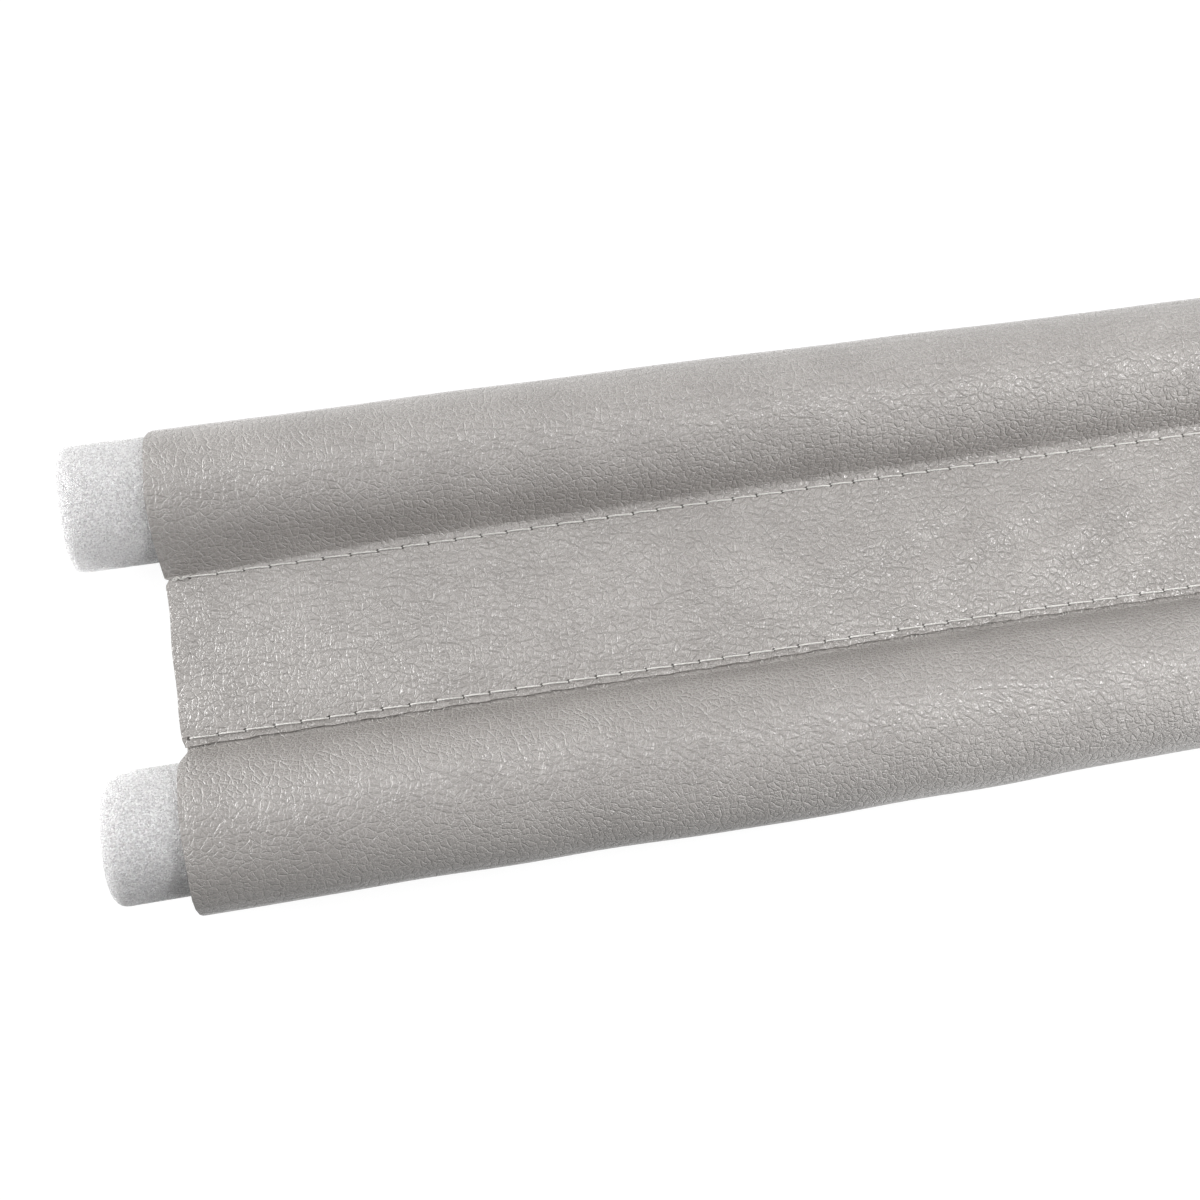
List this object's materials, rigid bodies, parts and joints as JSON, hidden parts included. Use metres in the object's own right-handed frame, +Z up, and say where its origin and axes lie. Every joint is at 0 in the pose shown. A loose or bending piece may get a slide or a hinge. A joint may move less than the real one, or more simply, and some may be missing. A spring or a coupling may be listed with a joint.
{
  "type": "under-door draught guard",
  "caption": "Twin-tube leatherette draught guard with a foam rod in each tube and a flat sewn web that slides under a door.",
  "frame": {"origin": "on the floor, under the middle of the guard", "axes": "+X along the guard, +Y from the front tube to the rear tube, +Z up"},
  "size_m": [0.941, 0.115, 0.0332],
  "materials": {
    "leatherette": "grained taupe-grey leatherette, half matt",
    "foam": "white closed-cell foam with fine glittering cells",
    "thread": "fine polyester sewing thread, a little paler than the sheet"
  },
  "bodies": {
    "root": {"cover": "leatherette", "foam_rod_rear": "foam", "foam_rod_front": "foam", "rear_needle_thread": "thread", "rear_bobbin_thread": "thread", "front_needle_thread": "thread", "front_bobbin_thread": "thread"}
  },
  "joints": []
}
